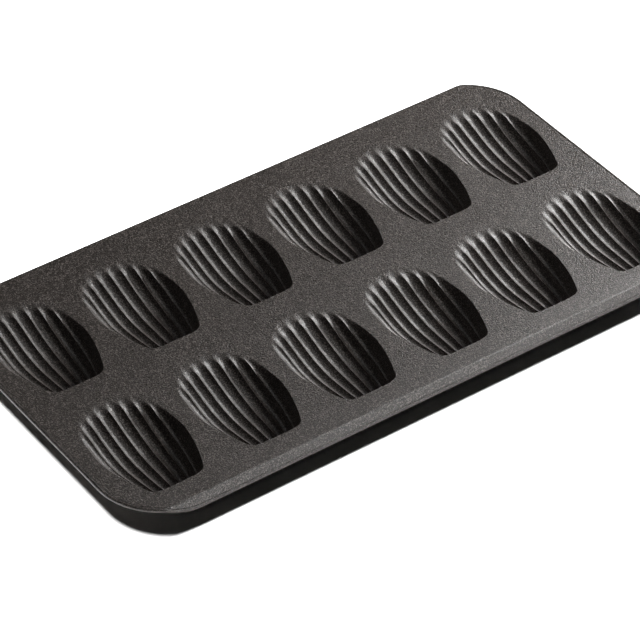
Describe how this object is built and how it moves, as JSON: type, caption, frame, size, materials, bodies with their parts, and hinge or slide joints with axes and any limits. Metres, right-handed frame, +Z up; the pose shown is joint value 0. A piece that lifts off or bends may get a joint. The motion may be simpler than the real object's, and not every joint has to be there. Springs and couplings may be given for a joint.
{
  "type": "madeleine pan",
  "caption": "Rectangular pressed steel baking pan with ribbed shell cups in two rows, folded long edges and a rolled rim",
  "frame": {"origin": "On the surface that the pan stands on, under the middle of its outline", "axes": "+X along the rows of cups, +Y from the narrow end of the cups towards the scalloped end, +Z up, out of the cups' mouths"},
  "size_m": [0.385, 0.2166, 0.0125],
  "materials": {
    "coated_steel": "dark grey-brown non-stick coating with a fine sparkle, satin",
    "rim_wire_steel": "plain drawn steel wire"
  },
  "bodies": {
    "root": {"tray_sheet": "coated_steel", "rolled_rim": "coated_steel", "rim_wire": "rim_wire_steel", "cup_front_1": "coated_steel", "cup_front_2": "coated_steel", "cup_front_3": "coated_steel", "cup_front_4": "coated_steel", "cup_front_5": "coated_steel", "cup_front_6": "coated_steel", "cup_back_1": "coated_steel", "cup_back_2": "coated_steel", "cup_back_3": "coated_steel", "cup_back_4": "coated_steel", "cup_back_5": "coated_steel", "cup_back_6": "coated_steel"}
  },
  "joints": []
}
